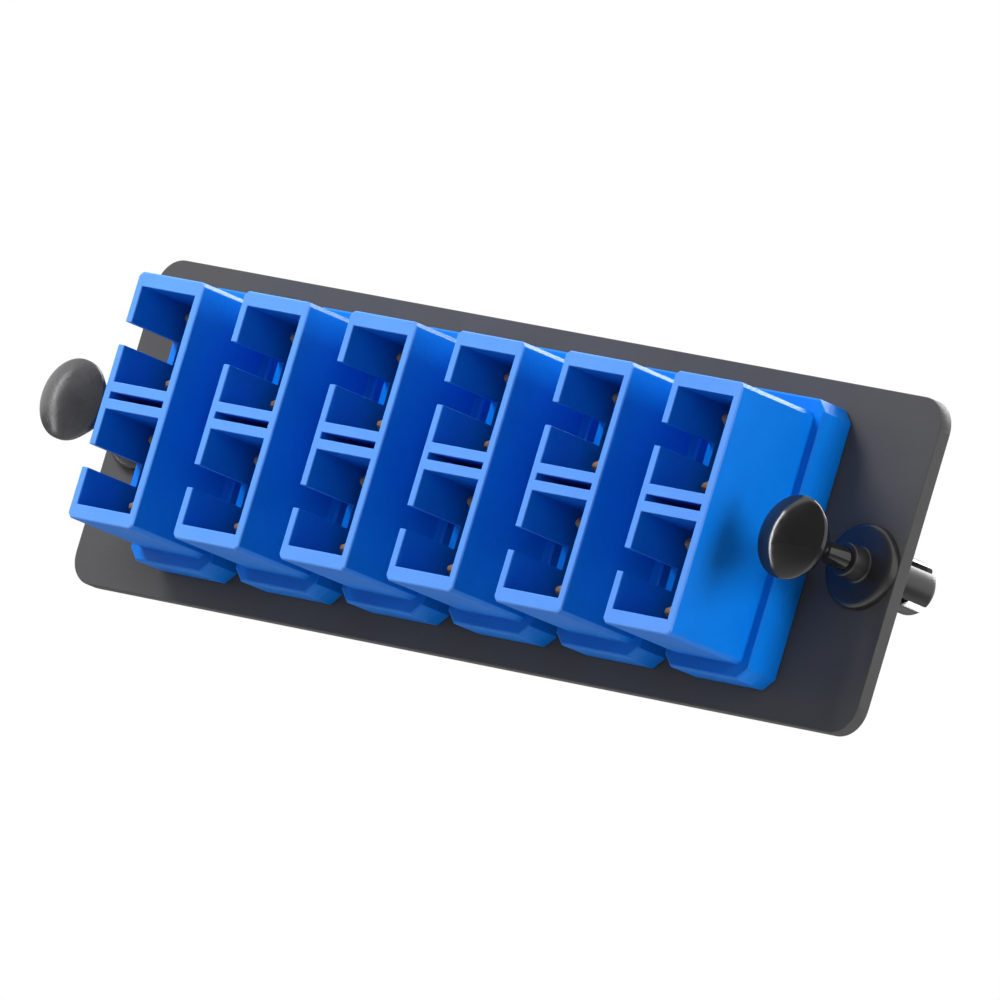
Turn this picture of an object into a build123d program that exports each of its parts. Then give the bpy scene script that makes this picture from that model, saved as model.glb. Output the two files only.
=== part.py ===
"""Fibre adapter plate: a black plate with six blue duplex adapters and two push-pull latches.

Frame, in millimetres: X runs along the plate, Z is up across it, and the ports open towards -Y.
The origin is the centre of the plate's rear face, which bears on the frame it is fixed to.
"""
import os

from build123d import *

# Plate
PLATE_LENGTH = 108.0
PLATE_HEIGHT = 34.0
PLATE_THICKNESS = 1.6
PLATE_CORNER_RADIUS = 3.0
CUTOUT_CLEARANCE = 0.15
CUTOUT_REAR_CHAMFER = 0.6

# Row of adapters, evenly spaced, with the outer two at a set distance from the plate's ends
ADAPTER_COUNT = 6
ROW_INSET = 17.0
ADAPTER_PITCH = (PLATE_LENGTH - 2 * ROW_INSET) / (ADAPTER_COUNT - 1)

# Adapter housing: two like halves that meet in a joint plane in front of the plate
BODY_WIDTH = 9.2
BODY_HEIGHT = 25.6
BODY_CORNER_CHAMFER = 0.45
FACE_EDGE_CHAMFER = 0.12
HALF_DEPTH = 13.0
FLANGE_WIDTH = 11.4
FLANGE_HEIGHT = 28.5
FLANGE_THICKNESS = 2.15
FLANGE_CORNER_CHAMFER = 1.2
FLANGE_EDGE_CHAMFER = 0.2

# Ports of an adapter
PORT_PITCH = 12.7
PORT_WIDTH = 7.45
PORT_HEIGHT = 9.9
KEY_SLOT_HEIGHT = 2.35
KEY_SLOT_DEPTH = 7.3
GROOVE_HEIGHT = 0.7
GROOVE_DEPTH = 9.0
THROAT_WIDTH = 6.5
THROAT_HEIGHT = 8.7
THROAT_DEPTH = 1.2

# Latch insert: one moulding in each half, with two hooks and a barrel for each port
INSERT_WIDTH = 8.2
INSERT_MARGIN = 0.55
INSERT_BASE_THICKNESS = 1.0
INSERT_CLEARANCE = 0.05
HOOK_REACH = 8.0
HOOK_WIDTH = 3.4
HOOK_THICKNESS = 0.75
HOOK_GAP = 0.35
HOOK_BARB = 0.7
HOOK_HEAD_LENGTH = 1.5
BARREL_RADIUS = 2.3
BARREL_REACH = 6.3
BARREL_LIP = 0.4
BARREL_MOUTH = 2.7

# Split sleeve that lines up two plugs in a port
SLEEVE_BORE_RADIUS = 1.25
SLEEVE_OUTER_RADIUS = 1.6
SLEEVE_LENGTH = 11.4
SLEEVE_CLEARANCE = 0.05
SLEEVE_SLOT = 0.5
SLEEVE_FLATS = 16

# Sprung steel clip on the rear of each adapter
CLIP_THICKNESS = 0.3
CLIP_WIDTH = 4.0
CLIP_START = 2.2
CLIP_WING_WIDTH = 5.0
CLIP_WING_ROOT = 1.2
CLIP_WING_CATCH = 0.25
CLIP_WING_GAP = 0.05
CLIP_STOP_HEIGHT = 0.45
CLIP_STOP_LENGTH = 1.1
CLIP_STOP_WIDTH = 3.6

# Latch grommets, a little below the middle of the plate, near its two ends
LATCH_INSET = 4.4
LATCH_DROP = 0.55
LATCH_HOLE_CLEARANCE = 0.1
GROMMET_NECK_RADIUS = 2.95
GROMMET_NECK_RECESS = 0.1
GROMMET_BARREL_RADIUS = 2.75
GROMMET_DISC_RADIUS = 4.3
GROMMET_DISC_THICKNESS = 1.1
GROMMET_DISC_BEVEL = 0.5
GROMMET_BOSS_RADIUS = 1.7
GROMMET_BOSS_LENGTH = 2.2
GROMMET_BARREL_LENGTH = 6.7
GROMMET_TIP_RADIUS = 1.75
GROMMET_TIP_BEVEL = 0.6
GROMMET_SLOT_WIDTH = 0.8

# Plungers: a domed knob, a stem in the grommet's neck and a thicker pin between its legs
PLUNGER_TRAVEL = 3.4
STEM_RADIUS = 1.1
STEM_CLEARANCE = 0.05
PIN_RADIUS = 1.5
PIN_CLEARANCE = 0.1
PIN_LENGTH = 5.9
PIN_POINT_RADIUS = 0.7
PIN_POINT_LENGTH = 0.9
PIN_END_PLAY = 0.15
KNOB_RADIUS = 4.2
KNOB_DOME_HEIGHT = 1.2
KNOB_RIM_THICKNESS = 0.45
KNOB_SHOULDER_RADIUS = 3.3
KNOB_SHOULDER_DEPTH = 1.4
KNOB_CONE_LENGTH = 4.1

# Places that several pieces share
PLATE_FRONT = -PLATE_THICKNESS
JOINT_PLANE = PLATE_FRONT - FLANGE_THICKNESS
NECK_END = -GROMMET_NECK_RECESS
FRONT, REAR = -1, 1
LEFT, RIGHT = -1, 1


def adapter_centre(index):
    """X of the centre of adapter 0, 1, 2 ... counted from the left."""
    return (index - (ADAPTER_COUNT - 1) / 2) * ADAPTER_PITCH


def port_centres():
    """Z of the upper and the lower port."""
    return (PORT_PITCH / 2, -PORT_PITCH / 2)


def slab(width, height, y_from, y_to, x=0.0, z=0.0):
    """Box between two planes across Y, centred on x and z."""
    low, high = min(y_from, y_to), max(y_from, y_to)
    return Pos(x, (low + high) / 2, z) * Box(width, high - low, height)


def across(outline, y_from, y_to):
    """Sketch drawn as X and Z, run from one plane across Y to another."""
    low, high = min(y_from, y_to), max(y_from, y_to)
    face = Plane(origin=(0, high, 0), x_dir=(1, 0, 0), z_dir=(0, -1, 0)) * outline
    return extrude(face, amount=high - low)


def turned(outline):
    """Solid of revolution about Y from a closed outline drawn as radius and Y."""
    return revolve(make_face(outline), axis=Axis.Y)


def one(shape):
    """The single solid of a result."""
    solids = shape.solids()
    return solids[0] if len(solids) == 1 else shape


def latch_place(side):
    """Centre of a latch on the plate, as X and Z."""
    return side * (PLATE_LENGTH / 2 - LATCH_INSET), -LATCH_DROP


def plate():
    """Flat plate with a cut-out for each adapter and a round hole for each latch."""
    outline = RectangleRounded(PLATE_LENGTH, PLATE_HEIGHT, PLATE_CORNER_RADIUS)
    for index in range(ADAPTER_COUNT):
        opening = Rectangle(BODY_WIDTH + 2 * CUTOUT_CLEARANCE, BODY_HEIGHT + 2 * CUTOUT_CLEARANCE)
        outline -= Pos(adapter_centre(index), 0) * opening
    sheet = across(outline, PLATE_FRONT, 0)
    cutouts = sheet.faces().sort_by(Axis.Y)[-1].inner_wires()
    sheet = chamfer([edge for wire in cutouts for edge in wire.edges()], CUTOUT_REAR_CHAMFER)
    for side in (LEFT, RIGHT):
        hole = Pos(*latch_place(side)) * Circle(GROMMET_NECK_RADIUS + LATCH_HOLE_CLEARANCE)
        sheet -= across(hole, PLATE_FRONT, 0)
    return one(sheet)


def housing_half():
    """Front half of a housing about the joint plane at Y = 0: its mouth is at Y = -HALF_DEPTH."""
    body = slab(BODY_WIDTH, BODY_HEIGHT, -HALF_DEPTH, 0)
    body = chamfer(body.edges().filter_by(Axis.Y), BODY_CORNER_CHAMFER)
    body = chamfer(body.faces().sort_by(Axis.Y)[0].edges(), FACE_EDGE_CHAMFER)
    flange = slab(FLANGE_WIDTH, FLANGE_HEIGHT, -FLANGE_THICKNESS, 0)
    flange = chamfer(flange.edges().filter_by(Axis.Y), FLANGE_CORNER_CHAMFER)
    flange = chamfer(flange.faces().sort_by(Axis.Y)[0].edges(), FLANGE_EDGE_CHAMFER)
    half = body + flange
    insert_seat = INSERT_BASE_THICKNESS + INSERT_CLEARANCE
    half -= slab(
        INSERT_WIDTH + 2 * INSERT_CLEARANCE, insert_height() + 2 * INSERT_CLEARANCE, -insert_seat, 0
    )
    for z in port_centres():
        half -= port_space(z, insert_seat)
        half -= key_slot(z)
    half -= slab(PORT_WIDTH, GROOVE_HEIGHT, -HALF_DEPTH, -HALF_DEPTH + GROOVE_DEPTH)
    return half


def port_space(z, insert_seat):
    """Space of a port: a wide mouth, and a narrower throat at the insert's seat."""
    throat_end = -insert_seat - THROAT_DEPTH
    mouth = slab(PORT_WIDTH, PORT_HEIGHT, -HALF_DEPTH, throat_end, z=z)
    throat = slab(THROAT_WIDTH, THROAT_HEIGHT, throat_end, -insert_seat, z=z)
    return mouth + throat


def key_slot(z):
    """Slot in the left wall of a port, open at the mouth, that takes a plug's key."""
    wall = (BODY_WIDTH - PORT_WIDTH) / 2
    slot_end = -HALF_DEPTH + KEY_SLOT_DEPTH
    return slab(2 * wall, KEY_SLOT_HEIGHT, -HALF_DEPTH, slot_end, -(BODY_WIDTH - wall) / 2, z)


def clip_stops():
    """Small ramps on the top and bottom of the rear half that keep the steel clip on."""
    start = -JOINT_PLANE + CLIP_START + CLIP_WIDTH + INSERT_CLEARANCE
    root = BODY_HEIGHT / 2 - CLIP_STOP_HEIGHT
    profile = Polyline(
        (start, root),
        (start, BODY_HEIGHT / 2 + CLIP_STOP_HEIGHT),
        (start + CLIP_STOP_LENGTH, BODY_HEIGHT / 2),
        (start + CLIP_STOP_LENGTH, root),
        close=True,
    )
    ramp = extrude(Plane.YZ * make_face(profile), amount=CLIP_STOP_WIDTH / 2, both=True)
    return ramp + mirror(ramp, about=Plane.XY)


def front_housing(index):
    """Half that faces the user, with its flange in front of the rear one's."""
    return Pos(adapter_centre(index), JOINT_PLANE, 0) * one(housing_half())


def rear_housing(index):
    """Half that goes through the plate, its flange seated on the plate's front."""
    half = mirror(housing_half(), about=Plane.XZ) + clip_stops()
    return Pos(adapter_centre(index), JOINT_PLANE, 0) * one(half)


def insert_height():
    """Height of the insert's base, which spans both ports."""
    return PORT_PITCH + PORT_HEIGHT + 2 * INSERT_MARGIN


def octagon(across_flats):
    """Octagon with two of its flats level."""
    return RegularPolygon(across_flats / 2, 8, major_radius=False, rotation=22.5)


def insert_half():
    """Front latch insert about the joint plane at Y = 0."""
    lip = -BARREL_REACH + BARREL_LIP
    insert = slab(INSERT_WIDTH, insert_height(), -INSERT_BASE_THICKNESS, 0)
    insert = chamfer(insert.edges().filter_by(Axis.Y), INSERT_MARGIN)
    for z in port_centres():
        insert += across(Pos(0, z) * octagon(2 * BARREL_RADIUS), -BARREL_REACH, 0)
        insert += hook(z, 1) + hook(z, -1)
    for z in port_centres():
        insert -= across(Pos(0, z) * octagon(2 * (SLEEVE_OUTER_RADIUS + SLEEVE_CLEARANCE)), lip, 0)
        insert -= across(Pos(0, z) * octagon(BARREL_MOUTH), -BARREL_REACH, lip)
    return one(insert)


def hook(z, side):
    """Sprung arm along the top or bottom of a port, with a barb that turns inwards at its tip."""
    outer = THROAT_HEIGHT / 2 - HOOK_GAP
    inner = outer - HOOK_THICKNESS
    tip = -HOOK_REACH
    head = tip + HOOK_HEAD_LENGTH
    profile = Polyline(
        (-INSERT_BASE_THICKNESS / 2, outer),
        (tip + HOOK_THICKNESS / 2, outer),
        (tip, outer - HOOK_THICKNESS / 2),
        (tip, inner),
        (head - HOOK_THICKNESS / 2, inner - HOOK_BARB),
        (head, inner - HOOK_BARB),
        (head, inner),
        (-INSERT_BASE_THICKNESS / 2, inner),
        close=True,
    )
    arm = extrude(Plane.YZ * make_face(profile), amount=HOOK_WIDTH / 2, both=True)
    return Pos(0, 0, z) * (arm if side > 0 else mirror(arm, about=Plane.XY))


def latch_insert(index, facing):
    """Insert of the front or the rear half, back to back in the joint plane."""
    insert = insert_half() if facing == FRONT else mirror(insert_half(), about=Plane.XZ)
    return Pos(adapter_centre(index), JOINT_PLANE, 0) * insert


def sleeve(index, z):
    """Ceramic sleeve with one slit, loose in the two barrels of a port; its rounds are drawn as flats."""
    outer = RegularPolygon(SLEEVE_OUTER_RADIUS, SLEEVE_FLATS)
    bore = RegularPolygon(SLEEVE_BORE_RADIUS, SLEEVE_FLATS)
    slit = Pos(SLEEVE_OUTER_RADIUS, 0) * Rectangle(SLEEVE_OUTER_RADIUS, SLEEVE_SLOT)
    tube = across(outer - bore - slit, -SLEEVE_LENGTH / 2, SLEEVE_LENGTH / 2)
    return Pos(adapter_centre(index), JOINT_PLANE, z) * one(tube)


def clip_wing():
    """Tongue on top of the steel clip; its tip catches behind the cut-out's chamfered rear edge."""
    base = BODY_HEIGHT / 2
    wall = base + CUTOUT_CLEARANCE + CUTOUT_REAR_CHAMFER - CLIP_WING_CATCH
    tip_top = wall - CLIP_WING_GAP
    root = CLIP_START + CLIP_WING_ROOT
    profile = Polyline(
        (root, base),
        (root, base + CLIP_THICKNESS),
        (-CLIP_WING_CATCH, tip_top),
        (-CLIP_WING_CATCH, tip_top - CLIP_THICKNESS),
        (CLIP_START, base),
        close=True,
    )
    return extrude(Plane.YZ * make_face(profile), amount=CLIP_WING_WIDTH / 2, both=True)


def steel_clip(index):
    """Steel band around the rear half, with a tongue above and below that holds the adapter in."""
    band_end = CLIP_START + CLIP_WIDTH
    band = slab(BODY_WIDTH + 2 * CLIP_THICKNESS, BODY_HEIGHT + 2 * CLIP_THICKNESS, CLIP_START, band_end)
    band = chamfer(band.edges().filter_by(Axis.Y), BODY_CORNER_CHAMFER + CLIP_THICKNESS / 2)
    hole = slab(BODY_WIDTH, BODY_HEIGHT, CLIP_START, band_end)
    band -= chamfer(hole.edges().filter_by(Axis.Y), BODY_CORNER_CHAMFER)
    wing = clip_wing()
    clip = band + wing + mirror(wing, about=Plane.XY)
    return Pos(adapter_centre(index), 0, 0) * one(clip)


def at_latch(side, shape):
    """A latch piece moved from the Y axis to its hole."""
    x, z = latch_place(side)
    return Pos(x, 0, z) * one(shape)


def boss_front():
    """Y of the front of a grommet's boss, where a pushed knob stops."""
    return PLATE_FRONT - GROMMET_DISC_THICKNESS - GROMMET_BOSS_LENGTH


def grommet(side):
    """Nylon bush: a disc and a boss in front, a neck in the plate and a barrel of four legs behind."""
    disc_front = PLATE_FRONT - GROMMET_DISC_THICKNESS
    bore = STEM_RADIUS + STEM_CLEARANCE
    well = PIN_RADIUS + PIN_CLEARANCE
    tip_height = GROMMET_BARREL_RADIUS - GROMMET_TIP_RADIUS - GROMMET_TIP_BEVEL
    outline = Polyline(
        (GROMMET_TIP_RADIUS, GROMMET_BARREL_LENGTH),
        (well, GROMMET_BARREL_LENGTH),
        (well, NECK_END),
        (bore, NECK_END),
        (bore, boss_front()),
        (GROMMET_BOSS_RADIUS, boss_front()),
        (GROMMET_BOSS_RADIUS, disc_front),
        (GROMMET_DISC_RADIUS - GROMMET_DISC_BEVEL, disc_front),
        (GROMMET_DISC_RADIUS, disc_front + GROMMET_DISC_BEVEL),
        (GROMMET_DISC_RADIUS, PLATE_FRONT),
        (GROMMET_NECK_RADIUS, PLATE_FRONT),
        (GROMMET_NECK_RADIUS, NECK_END),
        (GROMMET_BARREL_RADIUS, NECK_END),
        (GROMMET_BARREL_RADIUS, GROMMET_BARREL_LENGTH - GROMMET_TIP_BEVEL - 2 * tip_height),
        (GROMMET_TIP_RADIUS + GROMMET_TIP_BEVEL, GROMMET_BARREL_LENGTH - GROMMET_TIP_BEVEL),
        close=True,
    )
    bush = turned(outline)
    for turn in (45, 135):
        slot = slab(GROMMET_SLOT_WIDTH, 2 * GROMMET_DISC_RADIUS, NECK_END, GROMMET_BARREL_LENGTH)
        bush -= Rot(0, turn, 0) * slot
    return at_latch(side, bush)


def plunger(side):
    """Knob and pin in one piece, pulled out by the whole travel."""
    cone_end = boss_front() - PLUNGER_TRAVEL
    rim_back = cone_end - KNOB_CONE_LENGTH
    rim_front = rim_back - KNOB_RIM_THICKNESS
    apex = rim_front - KNOB_DOME_HEIGHT
    pin_start = NECK_END + PIN_END_PLAY
    pin_end = pin_start + PIN_LENGTH
    dome = TangentArc((0, apex), (KNOB_RADIUS, rim_front), tangent=(1, 0))
    profile = Polyline(
        (KNOB_RADIUS, rim_front),
        (KNOB_RADIUS, rim_back),
        (KNOB_SHOULDER_RADIUS, rim_back + KNOB_SHOULDER_DEPTH),
        (STEM_RADIUS, cone_end),
        (STEM_RADIUS, pin_start),
        (PIN_RADIUS, pin_start),
        (PIN_RADIUS, pin_end - PIN_POINT_LENGTH),
        (PIN_POINT_RADIUS, pin_end),
        (0, pin_end),
        (0, apex),
    )
    return at_latch(side, turned(dome + profile))


def make_parts():
    """All the nodes by name."""
    parts = {"plate": plate()}
    for index in range(ADAPTER_COUNT):
        name = f"adapter_{index + 1}"
        parts[f"{name}_front_housing"] = front_housing(index)
        parts[f"{name}_rear_housing"] = rear_housing(index)
        parts[f"{name}_front_insert"] = latch_insert(index, FRONT)
        parts[f"{name}_rear_insert"] = latch_insert(index, REAR)
        parts[f"{name}_steel_clip"] = steel_clip(index)
        for level, z in zip(("upper", "lower"), port_centres()):
            parts[f"{name}_{level}_sleeve"] = sleeve(index, z)
    for side, word in ((LEFT, "left"), (RIGHT, "right")):
        parts[f"{word}_grommet"] = grommet(side)
        parts[f"{word}_plunger"] = plunger(side)
    return parts


os.makedirs("parts", exist_ok=True)
for node, shape in make_parts().items():
    export_step(shape, f"parts/{node}.step")
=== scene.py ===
import math

import bmesh
import bpy
from mathutils import Matrix, Vector

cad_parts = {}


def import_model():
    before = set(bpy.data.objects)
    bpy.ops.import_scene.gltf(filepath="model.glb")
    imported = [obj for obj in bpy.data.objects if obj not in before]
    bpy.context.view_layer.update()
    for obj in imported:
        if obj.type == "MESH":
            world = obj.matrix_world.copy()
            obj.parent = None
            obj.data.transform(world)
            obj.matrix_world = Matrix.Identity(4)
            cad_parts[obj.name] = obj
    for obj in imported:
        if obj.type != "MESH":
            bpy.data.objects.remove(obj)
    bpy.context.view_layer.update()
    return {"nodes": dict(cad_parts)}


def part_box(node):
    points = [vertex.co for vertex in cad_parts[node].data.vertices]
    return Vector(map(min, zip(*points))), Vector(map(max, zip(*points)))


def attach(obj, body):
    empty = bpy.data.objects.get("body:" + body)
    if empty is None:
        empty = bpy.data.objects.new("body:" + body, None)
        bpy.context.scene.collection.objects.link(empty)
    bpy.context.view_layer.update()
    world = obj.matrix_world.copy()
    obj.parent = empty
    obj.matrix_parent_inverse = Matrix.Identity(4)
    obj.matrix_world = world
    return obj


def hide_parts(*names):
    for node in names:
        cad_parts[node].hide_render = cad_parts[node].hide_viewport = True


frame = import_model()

MM = 0.001
WHITE = (1.0, 1.0, 1.0, 1.0)

# Light from the white backdrop behind and from the room in front, and the room as gloss shows it
BACK_LIGHT = 0.15
FRONT_LIGHT = 0.13
ROOM_GLOSS = 0.12

# The backdrop begins in front of the part: Y of the directions between which it takes over from the room
BACKDROP_START = -0.48
BACKDROP_FULL = -0.43

# Floor, in metres, and how much of what the camera sees of it is plain white
FLOOR_HALF_WIDTH = 6.0
FLOOR_HEIGHT = -0.55
FLOOR_PALENESS = 0.8

# Camera fitted to the photograph: place in metres, axes, and focal length in the photograph's pixels
CAMERA_PLACE = (1.46258, -1.52697, -0.22077)
CAMERA_FORWARD = (-0.68832, 0.71798, 0.10355)
CAMERA_UP = (-0.13706, -0.2689, 0.95337)
FOCAL_PIXELS = 21627.5
PHOTO_PIXELS = 1000.0
SENSOR_WIDTH = 36.0

# Names and counts taken from the part
ADAPTERS = range(1, 7)
SIDES = ("left", "right")

# Mouth planes of the adapters along Y, and how deep the painted sheen on their rims goes, in millimetres
MOUTH_FRONT = -16.75
MOUTH_REAR = 9.25
RIM_SHEEN_DEPTH = 0.08
RIM_SHEEN_END_DEPTH = 0.20

# Turned latch pieces, in millimetres: radii, and places along Y from the plate's rear face
KNOB_DOME_HEIGHT = 1.2
KNOB_RIM_THICKNESS = 0.45
KNOB_RIM_EASE = 0.03
KNOB_SHOULDER_RADIUS = 3.3
KNOB_SHOULDER_DEPTH = 1.4
KNOB_CONE_LENGTH = 4.1
STEM_RADIUS = 1.1
PIN_RADIUS = 1.5
PIN_START = 0.05
PIN_POINT_RADIUS = 0.7
PIN_POINT_LENGTH = 0.9
PLATE_FRONT = -1.6
DISC_THICKNESS = 1.1
BOSS_RADIUS = 1.7
BARREL_RADIUS = 2.75
BARREL_TIP_RADIUS = 1.75
BARREL_TAPER_LENGTH = 0.4
WELL_RADIUS = 1.6
BORE_RADIUS = 1.15
NECK_RADIUS = 2.95
NECK_END = -0.1
LEG_GAP = 0.8
LEG_CUT_OVERSHOOT = 1.0
LEG_CUT_TURNS = (45, 135)

# Radii that round the corners of the turned pieces, in millimetres
SHARP = 0.0
KNOB_RIM_ROUND = 0.2
KNOB_SHOULDER_ROUND = 1.5
STEM_ROUND = 0.8
PIN_START_ROUND = 0.1
PIN_ROUND = 0.3
PIN_POINT_ROUND = 0.2
BOSS_ROUND = 0.2
BOSS_FOOT_ROUND = 0.25
DISC_ROUND = 0.6
BARREL_ROUND = 1.0
BARREL_TIP_ROUND = 0.3

# Rounding of the sharp edges of CAD nodes: widths and a weld in millimetres, angles in degrees
HOUSING_EDGE = 0.10
PLATE_EDGE = 0.12
INSERT_EDGE = 0.08
EDGE_SEGMENTS = 2
EDGE_ANGLE = 28.0
FLAT_ANGLE = 1.0
WELD_DISTANCE = 0.002
BUSH_SHARP_ANGLE = 35.0


def new_material(name):
    """A new material, with its node tree and its shader."""
    material = bpy.data.materials.new(name)
    material.use_nodes = True
    tree = material.node_tree
    return material, tree, tree.nodes["Principled BSDF"]


def add(tree, kind, **inputs):
    """A node with its named inputs set; a key can also be an attribute of the node."""
    node = tree.nodes.new(kind)
    for key, value in inputs.items():
        if hasattr(node, key) and key not in node.inputs:
            setattr(node, key, value)
        else:
            node.inputs[key].default_value = value
    return node


def object_point(tree):
    """Point on the piece in metres, the same at every pose."""
    return tree.nodes.new("ShaderNodeTexCoord").outputs["Object"]


def noise(tree, point, scale, detail, roughness=0.5):
    """Noise whose grain is about 1 / scale metres."""
    node = add(tree, "ShaderNodeTexNoise", Scale=scale, Detail=detail, Roughness=roughness)
    tree.links.new(point, node.inputs["Vector"])
    return node.outputs["Fac"]


def ramp(tree, value, low, high):
    """Colour that runs between two stops, each a position and a linear colour."""
    node = tree.nodes.new("ShaderNodeValToRGB")
    for element, (position, colour) in zip(node.color_ramp.elements, (low, high)):
        element.position = position
        element.color = (*colour, 1.0)
    tree.links.new(value, node.inputs["Fac"])
    return node.outputs["Color"]


def spread(tree, value, low, high):
    """Noise stretched to run from low to high."""
    span = {"From Min": 0.3, "From Max": 0.7, "To Min": low, "To Max": high}
    node = add(tree, "ShaderNodeMapRange", **span)
    tree.links.new(value, node.inputs["Value"])
    return node.outputs["Result"]


def step_between(tree, value, low, high, to_low=0.0, to_high=1.0):
    """Smooth step of a value from low to high."""
    span = {"From Min": low, "From Max": high, "To Min": to_low, "To Max": to_high}
    node = add(tree, "ShaderNodeMapRange", interpolation_type="SMOOTHSTEP", **span)
    tree.links.new(value, node.inputs["Value"])
    return node.outputs["Result"]


def split(tree, point):
    """X, Y and Z of a point."""
    node = tree.nodes.new("ShaderNodeSeparateXYZ")
    tree.links.new(point, node.inputs["Vector"])
    return node.outputs


def calculate(tree, operation, first, second):
    """Math node on two sockets, or on a socket and a number."""
    node = add(tree, "ShaderNodeMath", operation=operation)
    tree.links.new(first, node.inputs[0])
    if isinstance(second, float):
        node.inputs[1].default_value = second
    else:
        tree.links.new(second, node.inputs[1])
    return node.outputs["Value"]


def blend_colours(tree, factor, first, second):
    """Colour that goes from the first to the second as the factor goes from 0 to 1."""
    node = tree.nodes.new("ShaderNodeMix")
    node.data_type = "RGBA"
    tree.links.new(factor, node.inputs["Factor"])
    tree.links.new(first, node.inputs["A"])
    tree.links.new(second, node.inputs["B"])
    return node.outputs["Result"]


def mix_shaders(tree, factor, first, second):
    """Shader that goes from the first to the second as the factor goes from 0 to 1."""
    node = tree.nodes.new("ShaderNodeMixShader")
    tree.links.new(factor, node.inputs["Fac"])
    tree.links.new(first, node.inputs[1])
    tree.links.new(second, node.inputs[2])
    return node.outputs["Shader"]


def bump(tree, shader, height, depth):
    """Height from 0 to 1 as a relief of that depth in millimetres."""
    node = add(tree, "ShaderNodeBump", Strength=1.0, Distance=depth * MM)
    tree.links.new(height, node.inputs["Height"])
    tree.links.new(node.outputs["Normal"], shader.inputs["Normal"])


def clouded(name, scale, detail, dark, light, roughness):
    """Material whose colour and roughness drift together, with the point it is laid on."""
    material, tree, shader = new_material(name)
    point = object_point(tree)
    cloud = noise(tree, point, scale, detail)
    tree.links.new(ramp(tree, cloud, (0.3, dark), (0.7, light)), shader.inputs["Base Color"])
    tree.links.new(spread(tree, cloud, *roughness), shader.inputs["Roughness"])
    return material, tree, shader, point


def blue_plastic():
    """Moulded blue, deep and faintly grained, with a painted sheen: the rims of the mouths are coloured
    pale to stand in for strong front light.
    """
    material, tree, shader = new_material("blue_moulding")
    point = object_point(tree)
    cloud = noise(tree, point, 160.0, 6.0, 0.62)
    wall = ramp(tree, cloud, (0.25, (0.0012, 0.150, 0.61)), (0.75, (0.0017, 0.176, 0.70)))
    # Painted sheen: this pale rim colour stands in for the strong front light on the mouth faces
    rim = ramp(tree, cloud, (0.25, (0.085, 0.262, 0.76)), (0.75, (0.098, 0.288, 0.82)))
    y = split(tree, point)["Y"]
    # Mask of the painted sheen: a thin band at the front and rear mouth planes
    at_front = step_between(
        tree, y, (MOUTH_FRONT + RIM_SHEEN_DEPTH) * MM, (MOUTH_FRONT + RIM_SHEEN_END_DEPTH) * MM, 1.0, 0.0)
    at_rear = step_between(
        tree, y, (MOUTH_REAR - RIM_SHEEN_END_DEPTH) * MM, (MOUTH_REAR - RIM_SHEEN_DEPTH) * MM)
    at_painted_sheen = calculate(tree, "MAXIMUM", at_front, at_rear)
    tree.links.new(blend_colours(tree, at_painted_sheen, wall, rim), shader.inputs["Base Color"])
    tree.links.new(spread(tree, cloud, 0.38, 0.48), shader.inputs["Roughness"])
    fine = noise(tree, point, 5200.0, 2.0)
    coarse = noise(tree, point, 1100.0, 3.0)
    bump(tree, shader, calculate(tree, "ADD", fine, coarse), 0.024)
    shader.inputs["Specular IOR Level"].default_value = 0.2
    return material


def plate_coating():
    """Dark grey powder coat with a fine orange peel."""
    material, tree, shader, point = clouded(
        "black_powder_coat", 90.0, 4.0, (0.061, 0.060, 0.062), (0.072, 0.071, 0.073), (0.56, 0.64))
    bump(tree, shader, noise(tree, point, 2600.0, 3.0), 0.016)
    shader.inputs["Specular IOR Level"].default_value = 0.35
    return material


def black_nylon(name, roughness, shade):
    """Black moulding of a given gloss, with slight waves in its surface."""
    material, tree, shader, point = clouded(
        name, 420.0, 3.0, (shade, shade, 1.1 * shade), (1.4 * shade, 1.4 * shade, 1.5 * shade),
        (roughness, roughness + 0.06))
    bump(tree, shader, noise(tree, point, 900.0, 2.0), 0.006)
    shader.inputs["IOR"].default_value = 1.65
    return material


def insert_plastic():
    """Unpigmented amber moulding."""
    material, tree, shader, point = clouded(
        "amber_moulding", 500.0, 3.0, (0.26, 0.15, 0.065), (0.36, 0.21, 0.09), (0.35, 0.45))
    bump(tree, shader, noise(tree, point, 3000.0, 2.0), 0.008)
    return material


def sleeve_ceramic():
    """Polished white ceramic."""
    return clouded(
        "white_ceramic", 800.0, 2.0, (0.74, 0.73, 0.70), (0.80, 0.79, 0.76), (0.10, 0.16))[0]


def spring_steel():
    """Bright strip with fine rolling lines."""
    material, tree, shader = new_material("bright_strip")
    lines = add(tree, "ShaderNodeMapping", Scale=(300.0, 9000.0, 300.0))
    tree.links.new(object_point(tree), lines.inputs["Vector"])
    grain = noise(tree, lines.outputs["Vector"], 1.0, 3.0)
    colour = ramp(tree, grain, (0.3, (0.42, 0.42, 0.43)), (0.7, (0.48, 0.48, 0.49)))
    tree.links.new(colour, shader.inputs["Base Color"])
    tree.links.new(spread(tree, grain, 0.30, 0.36), shader.inputs["Roughness"])
    bump(tree, shader, grain, 0.0006)
    shader.inputs["Metallic"].default_value = 1.0
    return material


def dress(names, material):
    """Gives CAD nodes a material."""
    for name in names:
        piece = frame["nodes"][name]
        if not piece.material_slots:
            piece.data.materials.append(material)
        for slot in piece.material_slots:
            slot.link = "OBJECT"
            slot.material = material


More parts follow.
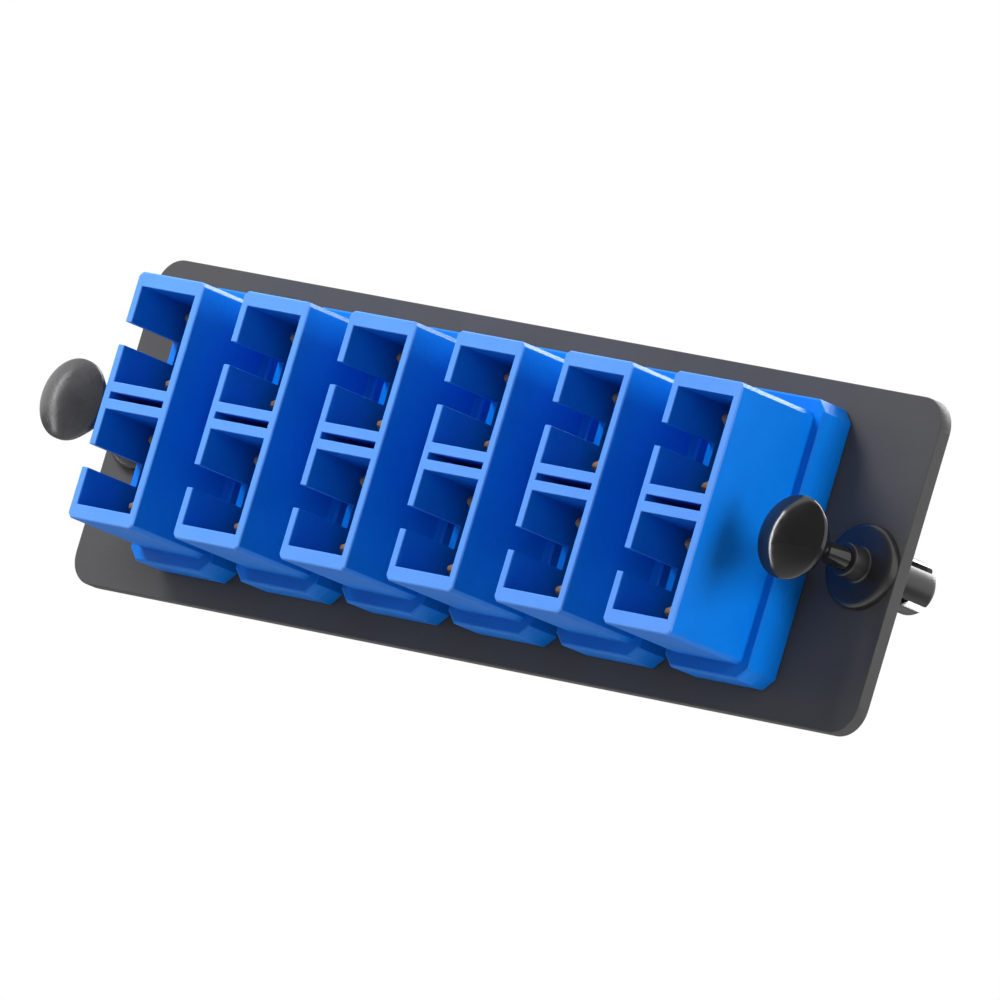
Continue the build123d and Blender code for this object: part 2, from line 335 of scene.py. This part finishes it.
def soften(names, width):
    """Rounds the sharp edges of CAD nodes with modifiers, which leave their meshes alone."""
    for name in names:
        piece = frame["nodes"][name]
        weld = piece.modifiers.new("weld", "WELD")
        weld.merge_threshold = WELD_DISTANCE * MM
        flat = piece.modifiers.new("flat", "DECIMATE")
        flat.decimate_type = "DISSOLVE"
        flat.angle_limit = math.radians(FLAT_ANGLE)
        edge = piece.modifiers.new("edge", "BEVEL")
        edge.width = width * MM
        edge.segments = EDGE_SEGMENTS
        edge.limit_method = "ANGLE"
        edge.angle_limit = math.radians(EDGE_ANGLE)
        edge.use_clamp_overlap = True
        edge.harden_normals = True


def rounded(corners, steps=6):
    """Points of an outline from its corners, each a radius, a Y and how much it is rounded."""
    points = []
    for index, (radius, y, rounding) in enumerate(corners):
        corner = Vector((radius, y))
        if rounding == SHARP:
            points.append(corner)
            continue
        before = (Vector(corners[index - 1][:2]) - corner).normalized()
        after = (Vector(corners[(index + 1) % len(corners)][:2]) - corner).normalized()
        half = before.angle(after) / 2
        reach = rounding / math.tan(half)
        centre = corner + (before + after).normalized() * rounding / math.sin(half)
        start = corner + before * reach - centre
        end = corner + after * reach - centre
        start_angle = math.atan2(start.y, start.x)
        sweep = (math.atan2(end.y, end.x) - start_angle + math.pi) % math.tau - math.pi
        for step in range(steps + 1):
            angle = start_angle + sweep * step / steps
            points.append(centre + rounding * Vector((math.cos(angle), math.sin(angle))))
    return points


def dome(apex, edge_radius, edge_y, steps=14):
    """Points of a round dome from its top on the axis to its edge."""
    height = edge_y - apex
    ball = (edge_radius ** 2 + height ** 2) / (2 * height)
    sweep = math.asin(edge_radius / ball)
    angles = [sweep * step / steps for step in range(steps + 1)]
    return [(ball * math.sin(angle), apex + ball * (1 - math.cos(angle))) for angle in angles]


def ring_of(work, radius, y, centre, around):
    """Vertices of a circle about Y, or the one on the axis when the radius is nothing."""
    if radius < 1e-6:
        return [work.verts.new((centre.x, y * MM, centre.z))]
    angles = [math.tau * step / around for step in range(around)]
    return [
        work.verts.new((
            centre.x + radius * MM * math.cos(angle), y * MM, centre.z + radius * MM * math.sin(angle)))
        for angle in angles]


def turned_piece(name, points, closed, centre, around=96):
    """Mesh turned about Y through a centre, from points given as radius and Y in millimetres."""
    work = bmesh.new()
    rings = [ring_of(work, radius, y, centre, around) for radius, y in points]
    for low, high in zip(rings, rings[1:] + rings[:1] if closed else rings[1:]):
        for step in range(around):
            following = (step + 1) % around
            corners = [low[step % len(low)], low[following % len(low)],
                       high[following % len(high)], high[step % len(high)]]
            unique = [vert for index, vert in enumerate(corners) if vert not in corners[:index]]
            if len(unique) > 2:
                work.faces.new(unique)
    bmesh.ops.recalc_face_normals(work, faces=work.faces)
    mesh = bpy.data.meshes.new(name)
    work.to_mesh(mesh)
    work.free()
    mesh.shade_smooth()
    piece = bpy.data.objects.new(name, mesh)
    bpy.context.collection.objects.link(piece)
    return piece


def middle(node):
    """Centre of a node's box."""
    low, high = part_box(node)
    return (Vector(low) + Vector(high)) / 2


def knob(side, material):
    """Plunger turned finely, its edges rounded, in place of the faceted one."""
    node = f"{side}_plunger"
    low, high = (Vector(corner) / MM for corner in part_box(node))
    radius = (high.x - low.x) / 2
    apex, pin_end = low.y, high.y
    rim_front = apex + KNOB_DOME_HEIGHT
    rim_back = rim_front + KNOB_RIM_THICKNESS
    cone_end = rim_back + KNOB_CONE_LENGTH
    top = dome(apex, radius - KNOB_RIM_EASE, rim_front)
    rest = rounded([
        (radius, rim_front + KNOB_RIM_EASE, SHARP),
        (radius, rim_back, KNOB_RIM_ROUND),
        (KNOB_SHOULDER_RADIUS, rim_back + KNOB_SHOULDER_DEPTH, KNOB_SHOULDER_ROUND),
        (STEM_RADIUS, cone_end, STEM_ROUND),
        (STEM_RADIUS, PIN_START, SHARP),
        (PIN_RADIUS, PIN_START, PIN_START_ROUND),
        (PIN_RADIUS, pin_end - PIN_POINT_LENGTH, PIN_ROUND),
        (PIN_POINT_RADIUS, pin_end, PIN_POINT_ROUND),
        (0.0, pin_end, SHARP)])
    piece = turned_piece(f"{side}_latch_knob", [*top, *rest], False, middle(node))
    piece.data.materials.append(material)
    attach(piece, f"{side}_latch")
    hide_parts(node)


def slit(piece, centre, tip):
    """Cuts two crossed gaps from the neck to past the tip, and keeps the cut mesh."""
    cutters = []
    for turn in LEG_CUT_TURNS:
        bpy.ops.mesh.primitive_cube_add(size=1.0)
        cutter = bpy.context.object
        cutter.scale = (
            LEG_GAP * MM, (tip - NECK_END + LEG_CUT_OVERSHOOT) * MM, 4 * BARREL_RADIUS * MM)
        cutter.rotation_euler = (0.0, math.radians(turn), 0.0)
        cutter.location = (centre.x, (tip + LEG_CUT_OVERSHOOT + NECK_END) / 2 * MM, centre.z)
        cutters.append(cutter)
        cut = piece.modifiers.new("cut", "BOOLEAN")
        cut.object = cutter
        cut.solver = "EXACT"
    bpy.context.view_layer.update()
    evaluated = piece.evaluated_get(bpy.context.evaluated_depsgraph_get())
    result = bpy.data.meshes.new_from_object(evaluated)
    piece.modifiers.clear()
    piece.data = result
    for cutter in cutters:
        bpy.data.objects.remove(cutter, do_unlink=True)


def bush(side, material):
    """Grommet turned finely, its barrel slit into four legs."""
    node = f"{side}_grommet"
    low, high = (Vector(corner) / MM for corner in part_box(node))
    disc_radius = (high.x - low.x) / 2
    boss_front, tip = low.y, high.y
    disc_front = PLATE_FRONT - DISC_THICKNESS
    outline = rounded([
        (BORE_RADIUS, boss_front, SHARP),
        (BOSS_RADIUS, boss_front, BOSS_ROUND),
        (BOSS_RADIUS, disc_front, BOSS_FOOT_ROUND),
        (disc_radius, disc_front, DISC_ROUND),
        (disc_radius, PLATE_FRONT, SHARP),
        (NECK_RADIUS, PLATE_FRONT, SHARP),
        (NECK_RADIUS, NECK_END, SHARP),
        (BARREL_RADIUS, NECK_END, SHARP),
        (BARREL_RADIUS, tip - BARREL_TAPER_LENGTH, BARREL_ROUND),
        (BARREL_TIP_RADIUS, tip, BARREL_TIP_ROUND),
        (WELL_RADIUS, tip, SHARP),
        (WELL_RADIUS, NECK_END, SHARP),
        (BORE_RADIUS, NECK_END, SHARP)])
    centre = middle(node)
    piece = turned_piece(f"{side}_latch_bush", outline, True, centre)
    slit(piece, centre, tip)
    piece.data.materials.clear()
    piece.data.materials.append(material)
    piece.data.set_sharp_from_angle(angle=math.radians(BUSH_SHARP_ANGLE))
    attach(piece, "panel")
    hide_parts(node)


def camera():
    """Long lens at the photograph's angle: right of the ports and a little below them."""
    data = bpy.data.cameras.new("view")
    piece = bpy.data.objects.new("view", data)
    bpy.context.collection.objects.link(piece)
    forward = Vector(CAMERA_FORWARD).normalized()
    right = forward.cross(Vector(CAMERA_UP).normalized()).normalized()
    turn = Matrix((right, right.cross(forward), -forward)).transposed()
    piece.matrix_world = Matrix.Translation(Vector(CAMERA_PLACE)) @ turn.to_4x4()
    data.sensor_width = SENSOR_WIDTH
    data.lens = SENSOR_WIDTH * FOCAL_PIXELS / PHOTO_PIXELS
    data.clip_start = 0.1
    data.clip_end = 20.0
    bpy.context.scene.camera = piece


def background(tree, strength):
    """White background of that strength."""
    return add(tree, "ShaderNodeBackground", Color=WHITE, Strength=strength).outputs["Background"]


def world():
    """White backdrop behind and a dim room in front, each as gloss shows it and as a soft light."""
    sky = bpy.data.worlds.new("studio")
    sky.use_nodes = True
    bpy.context.scene.world = sky
    tree = sky.node_tree
    tree.nodes.clear()
    direction = split(tree, tree.nodes.new("ShaderNodeTexCoord").outputs["Generated"])
    behind = step_between(tree, direction["Y"], BACKDROP_START, BACKDROP_FULL)
    path = tree.nodes.new("ShaderNodeLightPath").outputs
    white = background(tree, 1.0)
    gloss = mix_shaders(tree, behind, background(tree, ROOM_GLOSS), white)
    light = mix_shaders(tree, behind, background(tree, FRONT_LIGHT), background(tree, BACK_LIGHT))
    in_gloss = calculate(tree, "MAXIMUM", path["Is Glossy Ray"], path["Is Transmission Ray"])
    total = mix_shaders(tree, path["Is Camera Ray"], mix_shaders(tree, in_gloss, light, gloss), white)
    out = tree.nodes.new("ShaderNodeOutputWorld")
    tree.links.new(total, out.inputs["Surface"])


def floor():
    """Plain pale floor, well below the camera's line of sight."""
    low, high = -FLOOR_HALF_WIDTH, FLOOR_HALF_WIDTH
    corners = [(x, y, FLOOR_HEIGHT) for x, y in ((low, low), (high, low), (high, high), (low, high))]
    mesh = bpy.data.meshes.new("floor")
    mesh.from_pydata(corners, [], [(0, 1, 2, 3)])
    piece = bpy.data.objects.new("floor", mesh)
    bpy.context.collection.objects.link(piece)
    material, tree, shader = new_material("pale_floor")
    shader.inputs["Base Color"].default_value = (0.86, 0.86, 0.86, 1.0)
    shader.inputs["Roughness"].default_value = 0.8
    path = tree.nodes.new("ShaderNodeLightPath").outputs
    paleness = calculate(tree, "MULTIPLY", path["Is Camera Ray"], FLOOR_PALENESS)
    white = add(tree, "ShaderNodeEmission", Color=WHITE, Strength=1.0).outputs["Emission"]
    total = mix_shaders(tree, paleness, shader.outputs["BSDF"], white)
    tree.links.new(total, tree.nodes["Material Output"].inputs["Surface"])
    mesh.materials.append(material)


def softbox(name, place, width, height, power, in_gloss=True, as_light=True):
    """Soft lamp of that size, in metres and watts, aimed at the part, as a light, in gloss or both."""
    data = bpy.data.lights.new(name, "AREA")
    data.shape = "RECTANGLE"
    data.size = width
    data.size_y = height
    data.energy = power
    lamp = bpy.data.objects.new(name, data)
    bpy.context.collection.objects.link(lamp)
    lamp.location = place
    lamp.rotation_euler = (-Vector(place)).to_track_quat("-Z", "Y").to_euler()
    lamp.visible_glossy = in_gloss
    lamp.visible_diffuse = as_light


HOUSINGS = [f"adapter_{i}_{half}_housing" for i in ADAPTERS for half in ("front", "rear")]
INSERTS = [f"adapter_{i}_{half}_insert" for i in ADAPTERS for half in ("front", "rear")]
SLEEVES = [f"adapter_{i}_{level}_sleeve" for i in ADAPTERS for level in ("upper", "lower")]
CLIPS = [f"adapter_{i}_steel_clip" for i in ADAPTERS]
dress(HOUSINGS, blue_plastic())
dress(["plate"], plate_coating())
dress(INSERTS, insert_plastic())
dress(SLEEVES, sleeve_ceramic())
dress(CLIPS, spring_steel())

# The left knob is duller in the photograph than the right one
GROMMET_BLACK = black_nylon("grommet_moulding", 0.30, 0.012)
PLUNGER_BLACK = {
    # Painted light: the left copy's lighter shade stands in for the light on that knob; both are the
    # same black nylon
    "left": black_nylon("left_plunger_painted_light_moulding", 0.24, 0.030),
    "right": black_nylon("right_plunger_moulding", 0.10, 0.007)}
dress([f"{side}_grommet" for side in SIDES], GROMMET_BLACK)
for side in SIDES:
    dress([f"{side}_plunger"], PLUNGER_BLACK[side])
    knob(side, PLUNGER_BLACK[side])
    bush(side, GROMMET_BLACK)
soften(HOUSINGS, HOUSING_EDGE)
soften(["plate"], PLATE_EDGE)
soften(INSERTS, INSERT_EDGE)

camera()
world()
floor()
softbox("key", (-0.26, -0.30, 0.30), 0.22, 0.22, 4.1, in_gloss=False)
softbox("fill", (0.45, -0.60, 0.15), 0.40, 0.40, 1.1, in_gloss=False)
softbox("side", (0.86, 0.09, 0.26), 0.30, 0.50, 6.0, in_gloss=False)
softbox("rim", (-0.08, 0.58, 0.55), 0.50, 0.50, 8.0)
softbox("strip", (-0.80, -0.41, 0.0), 0.04, 0.90, 1.8, as_light=False)

scene = bpy.context.scene
scene.view_settings.view_transform = "Standard"
